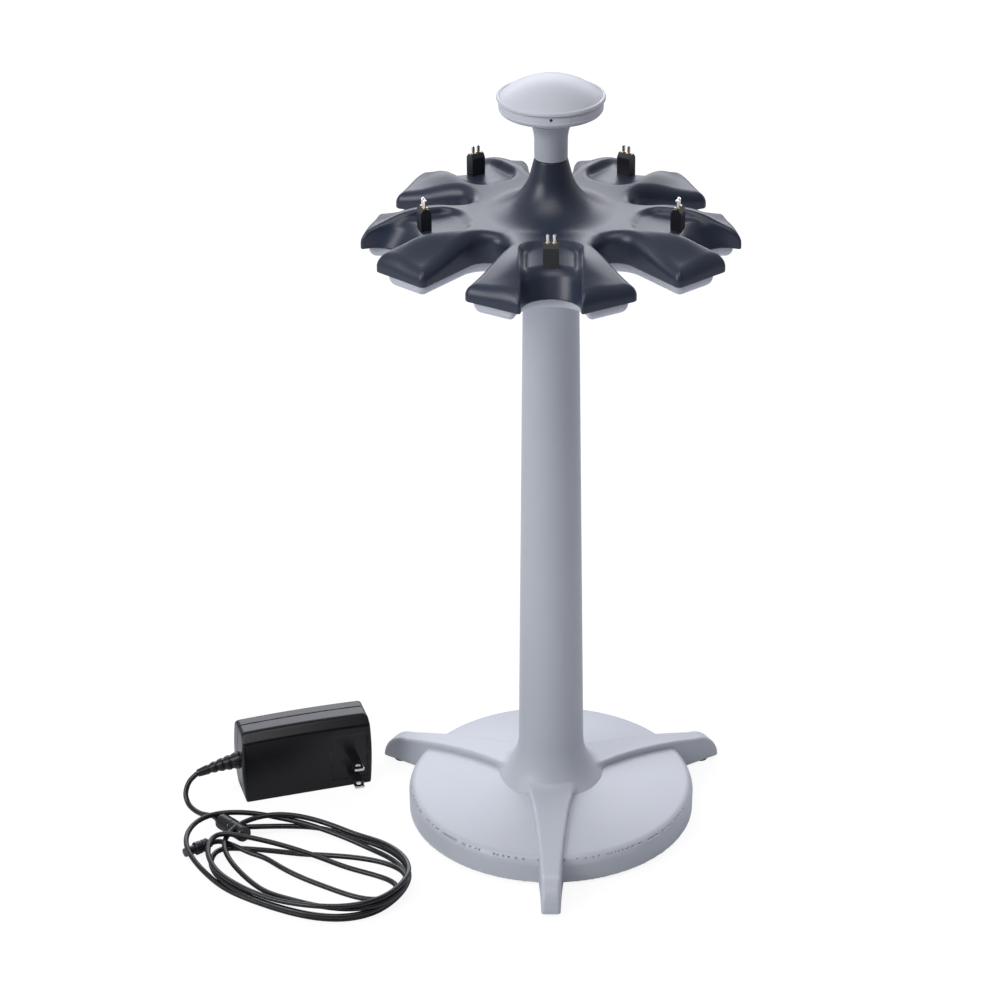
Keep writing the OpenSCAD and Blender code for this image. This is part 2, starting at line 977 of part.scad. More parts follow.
module lower_bush() {
    color(brass)
        ring(bush_r, axle_r + running_gap, cover_z + 0.3, cover_h - 0.3);
}

module upper_bush() {
    color(brass)
        ring(bush_r, axle_r + running_gap, cone_z - 10, 9.8);
}

module contact_board() {
    color(board_green)
        difference() {
            union() {
                translate([0, 0, board_z])
                    cylinder(r = boss_at + 5, h = board_t);
                each_station()
                    translate([boss_at, -5, board_z])
                        cube([block_at + block_d / 2 - boss_at, 10, board_t]);
            }
            translate([0, 0, board_z - cut])
                cylinder(r = drum_r + ring_t + 1, h = 10);
            each_station()
                translate([boss_at, 0, board_z - cut])
                    cylinder(r = screw_r + fit, h = 10);
        }
}

// ---------------------------------------------------------------- contacts

module block_solid() {
    z = board_z + board_t;
    // body with a top that slopes to a ridge along the two pins
    translate([block_at, 0, 0])
        rotate([90, 0, 0])
            linear_extrude(block_w, center = true)
                polygon([[-block_d / 2, floor_z], [block_d / 2, floor_z],
                    [block_d / 2, block_top - 2.2], [barrel_r, block_top], [-barrel_r, block_top],
                    [-block_d / 2, block_top - 2.2]]);
    translate([block_at - stem_d / 2, -stem_w / 2, z])
        cube([stem_d, stem_w, floor_z - z + 0.01]);
}

module pin_spots() {
    for (s = [-1, 1])
        translate([block_at, s * pin_pitch / 2, 0])
            children();
}

module contact_block(k) {
    color(block_black)
        at_station(k)
            difference() {
                block_solid();
                pin_spots()
                    translate([0, 0, block_top - barrel_h])
                        cylinder(r = barrel_r, h = barrel_h + cut);
            }
}

module contact_block_1() { contact_block(0); }
module contact_block_2() { contact_block(1); }
module contact_block_3() { contact_block(2); }
module contact_block_4() { contact_block(3); }
module contact_block_5() { contact_block(4); }

module pin_barrels() {
    color(brass)
        each_station()
            pin_spots()
                translate([0, 0, block_top - barrel_h])
                    difference() {
                        cylinder(r = barrel_r, h = barrel_h + 0.5, $fn = 32);
                        translate([0, 0, 1])
                            cylinder(r = pin_r + barrel_gap, h = barrel_h, $fn = 32);
                    }
}

module pin_springs() {
    color(steel)
        each_station()
            pin_spots()
                ring(pin_r - 0.05, pin_r - 0.35, block_top - barrel_h + 1, spring_h, $fn = 24);
}

module spring_pin(k, s) {
    color(brass)
        at_station(k)
            translate([block_at, s * pin_pitch / 2, block_top - pin_in]) {
                cylinder(r = pin_r, h = pin_in + pin_out - 0.6, $fn = 32);
                translate([0, 0, pin_in + pin_out - 0.6])
                    cylinder(r = pin_r - 0.35, h = 0.6, $fn = 32);
            }
}

module pin_1a() { spring_pin(0, -1); }
module pin_1b() { spring_pin(0, 1); }
module pin_2a() { spring_pin(1, -1); }
module pin_2b() { spring_pin(1, 1); }
module pin_3a() { spring_pin(2, -1); }
module pin_3b() { spring_pin(2, 1); }
module pin_4a() { spring_pin(3, -1); }
module pin_4b() { spring_pin(3, 1); }
module pin_5a() { spring_pin(4, -1); }
module pin_5b() { spring_pin(4, 1); }

// ---------------------------------------------------------------- power supply

// frame of the adapter: X along it, Y from its blade face to its back
module at_adapter() {
    translate([adapter_at[0], adapter_at[1], 0])
        rotate([0, 0, adapter_turn])
            children();
}

module adapter_body() {
    intersection() {
        rotate([90, 0, 90])
            linear_extrude(adapter_l)
                polygon([[0, 0.8], [0.8, 0], [adapter_d - 0.8, 0], [adapter_d, 0.8],
                    [adapter_d, adapter_h - adapter_bevel],
                    [adapter_d - adapter_bevel, adapter_h], [adapter_bevel, adapter_h],
                    [0, adapter_h - adapter_bevel / 2]]);
        linear_extrude(adapter_h + 2)
            polygon([[0, adapter_end], [adapter_end, 0], [adapter_l - adapter_end, 0],
                [adapter_l, adapter_end], [adapter_l, adapter_d - adapter_end],
                [adapter_l - adapter_end, adapter_d], [adapter_end, adapter_d],
                [0, adapter_d - adapter_end]]);
    }
}

module adapter_front() {
    color(cord_black)
        at_adapter()
            intersection() {
                adapter_body();
                translate([-cut, -cut, -cut])
                    cube([adapter_l + 2 * cut, adapter_split + cut, adapter_h + 2 * cut]);
            }
}

module adapter_back() {
    color(cord_black)
        at_adapter()
            intersection() {
                adapter_body();
                translate([-cut, adapter_split, -cut])
                    cube([adapter_l + 2 * cut, adapter_d, adapter_h + 2 * cut]);
            }
}

module plug_blades() {
    color(steel)
        at_adapter()
            for (s = [-1, 1])
                translate([blade_x, 0, blade_mid_z + s * blade_pitch / 2])
                    difference() {
                        translate([-blade_w / 2, -blade_out, -blade_t / 2])
                            cube([blade_w, blade_out, blade_t]);
                        translate([0, 3.2 - blade_out, -blade_t])
                            cylinder(r = 1.6, h = 2 * blade_t);
                    }
}

module cord_relief() {
    color(cord_black)
        at_adapter()
            difference() {
                translate([0, adapter_d / 2, relief_z])
                    rotate([0, -90 - relief_droop, 0])
                        rotate_extrude()
                            difference() {
                                polygon([[0, -2], [4.6, -2], [4.6, 1], [cord_d / 2 + 0.7, relief_l],
                                    [0, relief_l]]);
                                for (k = [0 : 3])
                                    translate([3.6 - 0.35 * k, 6 + 5 * k])
                                        square([2, 1.6]);
                            }
                cube([adapter_l, adapter_d, adapter_h]);
            }
}

// a tube swept along points, with flat ends
function unit(v) = v / norm(v);
function tangent(p, k) = unit(p[min(k + 1, len(p) - 1)] - p[max(k - 1, 0)]);
function sweep_ring(p, k, r) =
    let (t = tangent(p, k), a = unit(cross(t, abs(t[2]) > 0.9 ? [1, 0, 0] : [0, 0, 1])),
        b = cross(t, a))
    [for (j = [0 : cord_sides - 1])
        p[k] + r * (cos(360 * j / cord_sides) * a + sin(360 * j / cord_sides) * b)];

module sweep(p, r) {
    n = len(p);
    m = cord_sides;
    rings = [for (k = [0 : n - 1]) each sweep_ring(p, k, r)];
    sides = [for (k = [0 : n - 2], j = [0 : m - 1])
        [k * m + j, k * m + (j + 1) % m, (k + 1) * m + (j + 1) % m, (k + 1) * m + j]];
    polyhedron(rings, concat(sides, [[for (j = [0 : m - 1]) m - 1 - j]],
        [[for (j = [0 : m - 1]) (n - 1) * m + j]]));
}

module supply_cord() {
    color(cord_black) {
        sweep(lead_in, cord_d / 2);
        sweep(lead_out, cord_d / 2);
    }
}

module stadium(length, width) {
    straight = length - width;
    square([straight, width], center = true);
    for (s = [-1, 1])
        translate([s * straight / 2, 0])
            circle(r = width / 2);
}

module cord_coil() {
    color(cord_black)
        translate([coil_at[0], coil_at[1], 0])
            rotate([0, 0, coil_turn])
                linear_extrude(coil_h)
                    difference() {
                        stadium(coil_len, coil_w);
                        translate([0, coil_hole_y])
                            stadium(coil_hole[0], coil_hole[1]);
                    }
}

module cord_ferrite() {
    color(cord_black)
        translate([ferrite_at[0], ferrite_at[1], ferrite_r])
            rotate([0, 90, ferrite_turn])
                cylinder(r = ferrite_r, h = ferrite_l, center = true);
}

module jack_plug() {
    color(cord_black)
        translate([plug_at[0], plug_at[1], plug_r])
            rotate([0, 90, plug_turn])
                cylinder(r = plug_r, h = plug_l);
    color(steel)
        translate([plug_at[0], plug_at[1], plug_r])
            rotate([0, 90, plug_turn])
                cylinder(r = 2.75, h = plug_l + 9.5);
}

// ---------------------------------------------------------------- nodes

base_pad();
bottom_plate();
plate_screws();
ballast_ring();
base_cover();
foot_spider();
leg_pads();
dc_inlet();
power_lead();
column();
top_collar();
mast_rod();
rod_nuts();
rod_washers();
axle_tube();
slip_ring_drum();
slip_rings();
thrust_washer();
neck_sleeve();
knob_base();
knob_cap();
led_board();
led_lens();
rotor_shell();
rotor_cover();
cover_screws();
lower_bush();
upper_bush();
contact_board();
brush_holder();
brushes();
contact_block_1();
contact_block_2();
contact_block_3();
contact_block_4();
contact_block_5();
pin_barrels();
pin_springs();
pin_1a();
pin_1b();
pin_2a();
pin_2b();
pin_3a();
pin_3b();
pin_4a();
pin_4b();
pin_5a();
pin_5b();
adapter_front();
adapter_back();
plug_blades();
cord_relief();
supply_cord();
cord_coil();
cord_ferrite();
jack_plug();
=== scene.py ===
import json
import math

import bmesh
import bpy
import numpy as np
from mathutils import Matrix, Vector


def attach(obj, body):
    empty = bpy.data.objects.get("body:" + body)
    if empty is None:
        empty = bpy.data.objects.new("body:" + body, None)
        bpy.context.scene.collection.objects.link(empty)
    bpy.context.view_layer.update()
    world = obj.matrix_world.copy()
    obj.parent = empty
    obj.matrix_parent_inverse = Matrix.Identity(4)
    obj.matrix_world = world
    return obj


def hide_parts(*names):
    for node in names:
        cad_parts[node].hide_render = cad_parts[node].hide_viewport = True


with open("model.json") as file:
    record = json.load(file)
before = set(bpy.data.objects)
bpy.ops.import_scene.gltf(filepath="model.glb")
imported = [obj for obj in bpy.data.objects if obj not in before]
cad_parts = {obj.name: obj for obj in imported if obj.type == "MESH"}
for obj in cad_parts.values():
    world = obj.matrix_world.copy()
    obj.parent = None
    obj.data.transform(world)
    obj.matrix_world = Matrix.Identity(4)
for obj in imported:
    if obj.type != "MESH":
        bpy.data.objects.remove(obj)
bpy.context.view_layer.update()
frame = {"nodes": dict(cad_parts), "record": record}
MM = 0.001
SHARP = math.radians(38)     # edges that turn by more than this stay sharp

# ------------------------------------------------------------------ camera, fitted to the photo

CAMERA_AT = (0.0, -1.5888, 1.0441)
CAMERA_TILT = 62.39          # degrees from straight down
LENS = 109.99
SENSOR = 36
SHIFT_X = -0.051

camera = bpy.data.objects.new("camera", bpy.data.cameras.new("camera"))
bpy.context.collection.objects.link(camera)
camera.location = CAMERA_AT
camera.rotation_euler = (math.radians(CAMERA_TILT), 0, 0)
camera.data.lens = LENS
camera.data.sensor_width = SENSOR
camera.data.shift_x = SHIFT_X
bpy.context.scene.camera = camera


# ------------------------------------------------------------------ mesh helpers, in millimetres

def link(name, data):
    """A new object of the data, in the scene."""
    piece = bpy.data.objects.new(name, data)
    bpy.context.collection.objects.link(piece)
    return piece


def shade(mesh):
    """Smooth faces, with the sharp edges kept."""
    mesh.polygons.foreach_set("use_smooth", [True] * len(mesh.polygons))
    mesh.set_sharp_from_angle(angle=SHARP)


def mesh_piece(name, verts, faces, smooth=True):
    """A mesh object from millimetre vertices."""
    mesh = bpy.data.meshes.new(name)
    metres = np.asarray(verts, float) * MM
    mesh.from_pydata([tuple(v) for v in metres], [], [list(f) for f in faces])
    mesh.validate()
    mesh.update()
    if smooth:
        shade(mesh)
    return link(name, mesh)


def catmull(points, steps):
    """A smooth line through the points, with so many steps between each two."""
    p = np.asarray(points, float)
    p = np.vstack([2 * p[0] - p[1], p, 2 * p[-1] - p[-2]])
    out = []
    for a, b, c, d in zip(p, p[1:], p[2:], p[3:]):
        for t in np.arange(steps) / steps:
            out.append(0.5 * (2 * b + (c - a) * t + (2 * a - 5 * b + 4 * c - d) * t ** 2
                              + (3 * b - a - 3 * c + d) * t ** 3))
    out.append(p[-2])
    return np.array(out)


def evened(values, reach, spread):
    """A running average along rows of values, weighted by a bell curve."""
    steps = np.arange(-reach, reach + 1)
    weight = np.exp(-(steps / spread) ** 2)
    padded = np.pad(values, [(reach, reach)] + [(0, 0)] * (values.ndim - 1), mode="edge")
    total = sum(w * padded[reach + k:reach + k + len(values)] for k, w in zip(steps, weight))
    return total / weight.sum()


def frames_along(line):
    """Tangent and two normals at each point of a line, without twist."""
    tangent = np.gradient(line, axis=0)
    tangent /= np.linalg.norm(tangent, axis=1)[:, None]
    first = np.cross(tangent[0], (0, 0, 1))
    if np.linalg.norm(first) < 0.1:
        first = np.cross(tangent[0], (1, 0, 0))
    side = [first / np.linalg.norm(first)]
    for t in tangent[1:]:
        s = side[-1] - t * np.dot(side[-1], t)
        side.append(s / np.linalg.norm(s))
    side = np.array(side)
    return tangent, side, np.cross(tangent, side)


def tube(name, line, radii, sides=20):
    """A closed tube along a line, with a radius for each of its points."""
    _, a, b = frames_along(line)
    w = 2 * math.pi * np.arange(sides) / sides
    ring = np.cos(w)[None, :, None] * a[:, None] + np.sin(w)[None, :, None] * b[:, None]
    verts = (line[:, None] + np.asarray(radii)[:, None, None] * ring).reshape(-1, 3)
    faces = [(i * sides + j, i * sides + (j + 1) % sides, (i + 1) * sides + (j + 1) % sides,
              (i + 1) * sides + j) for i in range(len(line) - 1) for j in range(sides)]
    faces.append(tuple(range(sides - 1, -1, -1)))
    last = (len(line) - 1) * sides
    faces.append(tuple(range(last, last + sides)))
    return mesh_piece(name, verts, faces)


def soften(outline, radii, steps=6):
    """Rounds the corners of a closed outline, with a radius for each corner."""
    p = np.asarray(outline, float)
    out = []
    for before, here, after, r in zip(np.roll(p, 1, 0), p, np.roll(p, -1, 0), radii):
        if r == 0:
            out.append(here)
            continue
        a, b = before - here, after - here
        long_a, long_b = np.linalg.norm(a), np.linalg.norm(b)
        cut = min(r, 0.45 * long_a, 0.45 * long_b)
        a, b = here + a / long_a * cut, here + b / long_b * cut
        out += [(1 - t) ** 2 * a + 2 * t * (1 - t) * here + t ** 2 * b
                for t in np.linspace(0, 1, steps)]
    return np.array(out)


def lathe(name, outline, sides=180, dent=None):
    """A ring turned about Z from a closed outline of (radius, height) points."""
    w = 2 * math.pi * np.arange(sides) / sides
    r = np.broadcast_to(outline[:, 0], (sides, len(outline)))
    z = np.broadcast_to(outline[:, 1], (sides, len(outline)))
    if dent:
        r = r - dent(w[:, None], r, z)
    verts = np.stack([np.cos(w)[:, None] * r, np.sin(w)[:, None] * r, z], axis=2).reshape(-1, 3)
    n = len(outline)
    faces = []
    for i in range(sides):
        here, after = i * n, (i + 1) % sides * n
        faces += [(here + j, after + j, after + (j + 1) % n, here + (j + 1) % n) for j in range(n)]
    piece = mesh_piece(name, verts, faces)
    work = bmesh.new()
    work.from_mesh(piece.data)
    bmesh.ops.remove_doubles(work, verts=work.verts, dist=1e-6)
    bmesh.ops.dissolve_degenerate(work, edges=work.edges, dist=1e-7)
    bmesh.ops.recalc_face_normals(work, faces=work.faces)
    work.to_mesh(piece.data)
    work.free()
    shade(piece.data)
    return piece


PIECES = []                  # every piece with its material slot


def takes_over(piece, body, slot, *nodes):
    """The piece stands for these nodes and moves with the body."""
    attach(piece, body)
    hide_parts(*nodes)
    PIECES.append((piece, slot))


# ------------------------------------------------------------------ smooth moulded forms
#
# A form gives a signed distance in millimetres, less than zero inside. A slanting face is scaled so
# that the distance stays about true.

def round_max(a, b, r):
    """Overlap of two forms, with their common edge rounded."""
    return np.minimum(-r, np.maximum(a, b)) + np.hypot(np.maximum(a + r, 0), np.maximum(b + r, 0))


def round_min(a, b, r):
    """Union of two forms, with a fillet in their common corner."""
    return -round_max(-a, -b, r)


def profile(x, points):
    """Height at x on a smooth line through (x, height) points."""
    line = catmull(points, 8)
    return np.interp(x, line[:, 0], line[:, 1])


def fold(x, y, count):
    """Distance out and aside from the nearest of so many equal directions, the first along -Y."""
    r = np.hypot(x, y)
    a = np.arctan2(y, x) + math.pi / 2
    a -= 2 * math.pi / count * np.round(a * count / (2 * math.pi))
    return r, r * np.cos(a), r * np.abs(np.sin(a))


PROBE = 0.04                 # step over which a form's slope is taken


def moulded(name, form, low, high, step):
    """A mesh of the surface where form(x, y, z) is zero, in millimetres.

    Each cell of a grid that the surface crosses gets one vertex, and each crossed grid edge a face
    of four. The vertices then move onto the surface along its slope.
    """
    axes = [np.arange(a, b + step, step) for a, b in zip(low, high)]
    y, z = np.meshgrid(axes[1], axes[2], indexing="ij")
    value = np.array([form(np.full_like(y, x), y, z) for x in axes[0]])
    size = np.array(value.shape)
    places, cells = [], []
    for axis in range(3):
        a = np.moveaxis(value, axis, 0)
        i, j, k = np.nonzero((a[:-1] < 0) != (a[1:] < 0))
        spot = [j, k]
        spot.insert(axis, i)
        spot = np.array(spot)
        u, v = (axis + 1) % 3, (axis + 2) % 3
        inner = (spot[u] > 0) & (spot[v] > 0) & (spot[u] < size[u] - 1) & (spot[v] < size[v] - 1)
        i, j, k, spot = i[inner], j[inner], k[inner], spot[:, inner]
        place = spot.astype(float)
        place[axis] += a[i, j, k] / (a[i, j, k] - a[i + 1, j, k])
        quad = []
        for du, dv in ((0, 0), (1, 0), (1, 1), (0, 1)):
            corner = spot.copy()
            corner[u] -= du
            corner[v] -= dv
            quad.append(np.ravel_multi_index(corner, size))
        quad = np.array(quad).T
        inward = a[i, j, k] > 0
        quad[inward] = quad[inward][:, ::-1]
        places.append(place.T)
        cells.append(quad)
    places, cells = np.vstack(places), np.vstack(cells)
    _, at = np.unique(cells.ravel(), return_inverse=True)
    at = at.ravel()
    many = np.bincount(at)
    spread = np.repeat(places, 4, axis=0)
    verts = np.column_stack([np.bincount(at, spread[:, c]) / many for c in range(3)])
    verts = verts * step + np.array(low)
    for _ in range(3):
        here = form(*verts.T)
        slope = np.column_stack([(form(*(verts + d).T) - form(*(verts - d).T)) / (2 * PROBE)
                                 for d in np.eye(3) * PROBE])
        move = here / np.maximum((slope ** 2).sum(axis=1), 0.25)
        verts -= np.clip(move, -step / 2, step / 2)[:, None] * slope
    return mesh_piece(name, verts, at.reshape(-1, 4))


# ------------------------------------------------------------------ rotor shell

STATIONS = 5
SKIRT_Z = 379.5
FLOOR_Z = 394.5              # floor of the pocket
FLOOR_RISE = 1.6             # rise of that floor at the pocket's inner end
ROTOR_TOP = 427.3
CONE_R = 9.4                 # at the top
CONE_SLOPE = 0.25
CONE_FILLET = 20
TIP = np.array([106.82, 15.9])
HEEL = np.array([88.05, 47.41])
RIM_WAY = math.radians(30.78)        # outward normal of the rim
GAP_WAY = math.radians(123.36)       # outward normal of the gap's wall
GAP_END = 60.3 * np.array([math.cos(math.radians(36)), math.sin(math.radians(36))])
GAP_END_R = 11.6
PRONG_CORNER = 3.5           # rounding of a prong in plan
PRONG_EDGE = 6               # rounding of its upper edge
NOTCH = 15.9                 # half the notch's width
NOTCH_END = 86.5
NOTCH_LEAN = math.tan(math.radians(31))
POCKET_AT = 48.5
POCKET_CORNER = 12
POCKET_FLOOR_EDGE = 3.5
MOUTH_EDGE = 4.5             # rounding between the pocket and the notch
RIM_EDGE = 2.2               # rounding where both meet the prongs
BORE_R = 7.7
DRUM_HOLLOW = (11.5, 398)    # radius and top of the room round the slip ring
BOARD_HOLLOW = (38, 391)     # the same round the contact board
# height of the prongs by distance from the axis, and of the ridge along each channel
PLATE = [(0, 396.9), (34, 396.6), (45, 395.9), (56, 394.8), (70, 392.8), (85, 390.3), (100, 388.2),
         (110, 386.4)]
RIDGE = [(0, 394.0), (24, 395.2), (38, 396.6), (50, 397.9), (60, 398.8), (70, 399.1), (77, 398.6),
         (84, 397.0), (91, 394.2), (97, 391.9), (102, 390.1), (110, 387.6)]
RIDGE_AT = 1.5               # how far from the notch the ridge keeps its full height
RIDGE_WIDTH = 13.0
RIDGE_BLEND = 0.8


def prong_plan(out, side, inset):
    """The rim, and the gap between two stations, both moved in by the inset."""
    rim = (out - TIP[0]) * math.cos(RIM_WAY) + (side - TIP[1]) * math.sin(RIM_WAY)
    gap = (out - HEEL[0]) * math.cos(GAP_WAY) + (side - HEEL[1]) * math.sin(GAP_WAY)
    along = (out - GAP_END[0]) * math.sin(GAP_WAY) - (side - GAP_END[1]) * math.cos(GAP_WAY)
    gap_end = GAP_END_R + inset - np.hypot(out - GAP_END[0], side - GAP_END[1])
    return rim + inset, np.where(along > 0, gap + inset, gap_end)


def notch_plan(out, side, end, half):
    """Distance outside a notch with a round closed end, its arc centred at end."""
    return np.where(out < end, np.hypot(out - end, side), side) - half


def rotor_form(x, y, z):
    r, out, side = fold(x, y, STATIONS)
    plate = profile(r, PLATE)
    ridge = round_max(profile(out, RIDGE) - plate, np.zeros_like(r), RIDGE_BLEND)
    off = np.maximum(side - NOTCH - RIDGE_AT, 0) / RIDGE_WIDTH
    upper = (z - plate - ridge * np.exp(-off ** 2)) * 0.95
    cone = (r - CONE_R - (ROTOR_TOP - z) * CONE_SLOPE) * 0.97
    body = round_min(cone, upper, CONE_FILLET)
    rim, gap = prong_plan(out, side, 0)
    body = round_max(body, round_max(rim, gap, PRONG_CORNER), PRONG_EDGE)
    # pocket, and the notch whose closed end leans in over it
    floor_z = FLOOR_Z + FLOOR_RISE * np.clip((62 - out) / 12, 0, 1) ** 2
    pocket = round_max(POCKET_AT - out, side - NOTCH, POCKET_CORNER)
    pocket = round_max(pocket, floor_z - z, POCKET_FLOOR_EDGE)
    end = NOTCH_END + NOTCH - (np.minimum(z, FLOOR_Z + 3) - SKIRT_Z) * NOTCH_LEAN
    notch = notch_plan(out, side, end, NOTCH)
    body = round_max(body, round_max(-notch, -pocket, MOUTH_EDGE), RIM_EDGE)
    body = round_max(body, SKIRT_Z - z, 0.5)
    body = np.maximum(body, BORE_R - r)
    for hollow_r, hollow_top in (DRUM_HOLLOW, BOARD_HOLLOW):
        body = np.maximum(body, -np.maximum(r - hollow_r, z - hollow_top))
    return np.maximum(body, z - ROTOR_TOP)


rotor = moulded("rotor_moulding", rotor_form, (-109.5, -109.5, 378.1), (109.5, 109.5, 428.6), 0.8)
takes_over(rotor, "rotor", "rotor_plastic", "rotor_shell")

# ------------------------------------------------------------------ pale cover under the rotor

COVER_Z = 371.8
COVER_IN = 2.8               # how far the cover stands in from the shell's plan
COVER_NOTCH = 19.0
COVER_NOTCH_END = 82.5
COVER_EDGE = 5.5
COVER_GAP = 0.1              # between the cover and the shell
SCREW_AT = 34
SCREW_HOLE_R = 3.2
SCREW_HOLE_TOP = 375.5


def cover_form(x, y, z):
    r, out, side = fold(x, y, STATIONS)
    rim, gap = prong_plan(out, side, COVER_IN)
    notch = notch_plan(out, side, COVER_NOTCH_END + COVER_NOTCH, COVER_NOTCH)
    plan = round_max(round_max(rim, gap, 5), -notch, 4)
    body = round_max(plan, COVER_Z - z, COVER_EDGE)
    recess = np.maximum(np.hypot(out - SCREW_AT, side) - SCREW_HOLE_R, z - SCREW_HOLE_TOP)
    body = np.maximum(np.maximum(body, -recess), BORE_R - r)
    return np.maximum(body, z - SKIRT_Z + COVER_GAP)


cover = moulded("cover_moulding", cover_form, (-106, -106, 370.9), (106, 106, 380.3), 0.8)
takes_over(cover, "rotor", "cover_plastic", "rotor_cover")

# ------------------------------------------------------------------ neck and knob

NECK_Z = 427.5
KNOB_Z = 448.15
CAP_Z = 461.65
CAP_TOP = 474.6
CAP_R = 30.2
CAP_WALL = 2.2
DOME_R = 28.4
DOME_Z = 463.9               # height of the dome's edge
SEAM_WAY = math.radians(-68)         # where the seam of the knob's base is
SEAM_HALF = 0.009            # half its width, in radians
SEAM_DEPTH = 0.3
LED_AT = (0, -29.05, 460.0)
LED_R = 1.0

# outlines as (radius, height), with the rounding of each corner
NECK = [(6.35, NECK_Z), (9.3, NECK_Z), (9.4, 440), (10.1, 444.5), (11.6, 448.1), (6.35, 448.1)]
NECK_ROUND = [0, 0.5, 4, 3, 0.4, 0]
KNOB_BASE = [(6.5, KNOB_Z), (11.6, KNOB_Z), (12.4, 450), (14, 451.5), (24, 453.6), (28.0, 455.0),
             (29.1, 456.8), (29.1, 458.0), (28.85, 458.15), (28.85, 458.4), (29.1, 458.55),
             (29.1, 461.2), (28.7, 461.6), (27.3, 461.6), (27.3, 457.4), (26.2, 456.1),
             (23.6, 455.1), (13.4, 453.1), (11.0, 451.4), (10.3, 449.1), (6.5, 449.1)]
KNOB_BASE_ROUND = [0, 0.4, 1.5, 2, 4, 2.5, 1.5, 0.1, 0.1, 0.1, 0.1, 0.4, 0.3, 0.2, 1, 1, 1, 1, 1,
                   0.5, 0]
LIP = [(27.2, CAP_Z), (29.4, CAP_Z), (CAP_R, 462.3), (CAP_R, 463.7), (29.6, 464.4), (28.6, 464.3)]
LIP_ROUND = [0.2, 0.5, 0.6, 0.6, 0.5, 0.3]
LENS_OUTLINE = [(0.0, 0.30), (0.45, 0.27), (0.8, 0.14), (LED_R, -0.05), (LED_R + 0.25, -0.02),
                (LED_R + 0.25, -2.2), (0.0, -2.2)]


def seam_dent(w, r, z):
    """A fine upright seam in the knob's outer face."""
    off = np.abs((w - SEAM_WAY + math.pi) % (2 * math.pi) - math.pi)
    return np.where((off < SEAM_HALF) & (r > 28) & (z > 455), SEAM_DEPTH, 0.0)


def cap_outline():
    """The cap's lip, then its dome out to in, then the dome's inner face."""
    rise = CAP_TOP - DOME_Z
    sphere = (DOME_R ** 2 + rise ** 2) / (2 * rise)
    dome = [(r, CAP_TOP - sphere + math.sqrt(sphere ** 2 - r ** 2))
            for r in np.linspace(DOME_R, 0, 24)]
    inner = [(r, z - CAP_WALL) for r, z in dome[::-1]]
    return np.vstack([soften(LIP, LIP_ROUND), dome, inner[:-2]])


takes_over(lathe("neck", soften(NECK, NECK_ROUND)), "stand", "column_plastic", "neck_sleeve")
takes_over(lathe("knob_base_turned", soften(KNOB_BASE, KNOB_BASE_ROUND), 720, seam_dent),
           "stand", "knob_plastic", "knob_base")
takes_over(lathe("knob_cap_turned", cap_outline()), "stand", "knob_plastic", "knob_cap")

led = lathe("led_window", np.array(LENS_OUTLINE), 32)
led.data.transform(Matrix.Translation(Vector(LED_AT) * MM)
                   @ Matrix.Rotation(math.radians(90), 4, "X"))
takes_over(led, "stand", "lens", "led_lens", "led_board")

# ------------------------------------------------------------------ legs and base

LEGS = 3
LEG_BACK = 345.3             # radius of a leg's arched back
LEG_CREST = (16, 29.7)       # distance out and height of the arch's highest point
LEG_NOSE_R = 16.6
LEG_REACH = 119.5
LEG_EDGE = 2.0
LEG_DRAFT = 0.03
LEG_FOOT_Z = 2.1
# half the width of a leg by distance from the axis
LEG_HALF = [(0, 16), (30, 13.4), (40, 11.8), (50, 10.4), (63, 9.0), (83, 7.1), (102, 5.7),
            (120, 5.0)]
FLARE_R = 34                 # concave flare of the column's foot
FLARE_AT = (53.7, 51.87)     # centre of that arc: distance out and height
FLARE_BACK = 0.12            # how far the bell stays behind the column's own flare
BELL_R = 32.2
BASE_R = 87.5
BASE_EDGE = 4.8
BASE_WALL = 2.6
BASE_ROOF = 2.4
BASE_HOLE_R = 31
# height of the base's top by distance from the axis
COVER_TOP = [(-20, 26.5), (0, 26.4), (30, 26.0), (45, 24.9), (60, 23.3), (72, 21.5), (82, 19.6),
             (92, 17.5)]
INLET = (8.6, 4.2)           # height of its middle, and half its side


def legs_form(x, y, z):
    r, out, side = fold(x, y, LEGS)
    back = np.hypot(out - LEG_CREST[0], z - LEG_CREST[1] + LEG_BACK) - LEG_BACK
    end = LEG_REACH - LEG_NOSE_R
    nose = np.hypot(out - end, z - 2) - LEG_NOSE_R
    shape = np.minimum(nose, np.maximum(back, out - end - LEG_NOSE_R / 4))
    wall = (side - profile(out, LEG_HALF) - (22.8 - z) * LEG_DRAFT) * 0.97
    leg = round_max(shape, wall, LEG_EDGE)
    bell = FLARE_R - np.hypot(r - FLARE_AT[0], z - FLARE_AT[1]) + FLARE_BACK
    bell = round_max(np.where(r > 40, r - BELL_R, bell), r - BELL_R, 1.2)
    body = round_min(leg, bell, 3.5)
    return np.maximum(np.maximum(body, z - FLARE_AT[1]), LEG_FOOT_Z - z)


def base_form(x, y, z):
    r = np.hypot(x, y)
    top = profile(r, COVER_TOP)
    body = round_max((z - top) * 0.99, r - BASE_R + (20 - z) * 0.02, BASE_EDGE)
    inside = np.maximum(r - BASE_R + BASE_WALL, z - top + BASE_ROOF)
    body = np.maximum(np.maximum(body, -inside), 2.0 - z)
    inlet = np.maximum(np.abs(x) - INLET[1], np.abs(z - INLET[0]) - INLET[1])
    body = np.maximum(body, -np.maximum(inlet, 70 - y))
    return np.maximum(body, BASE_HOLE_R - r)


takes_over(moulded("base_moulding", base_form, (-89, -89, 0.9), (89, 89, 28), 1.1), "stand",
           "base_plastic", "base_cover")
legs = moulded("legs_moulding", legs_form, (-106, -121, 0.7), (106, 62, 53), 0.7)
takes_over(legs, "stand", "base_plastic", "foot_spider")

# ------------------------------------------------------------------ plug-in power supply

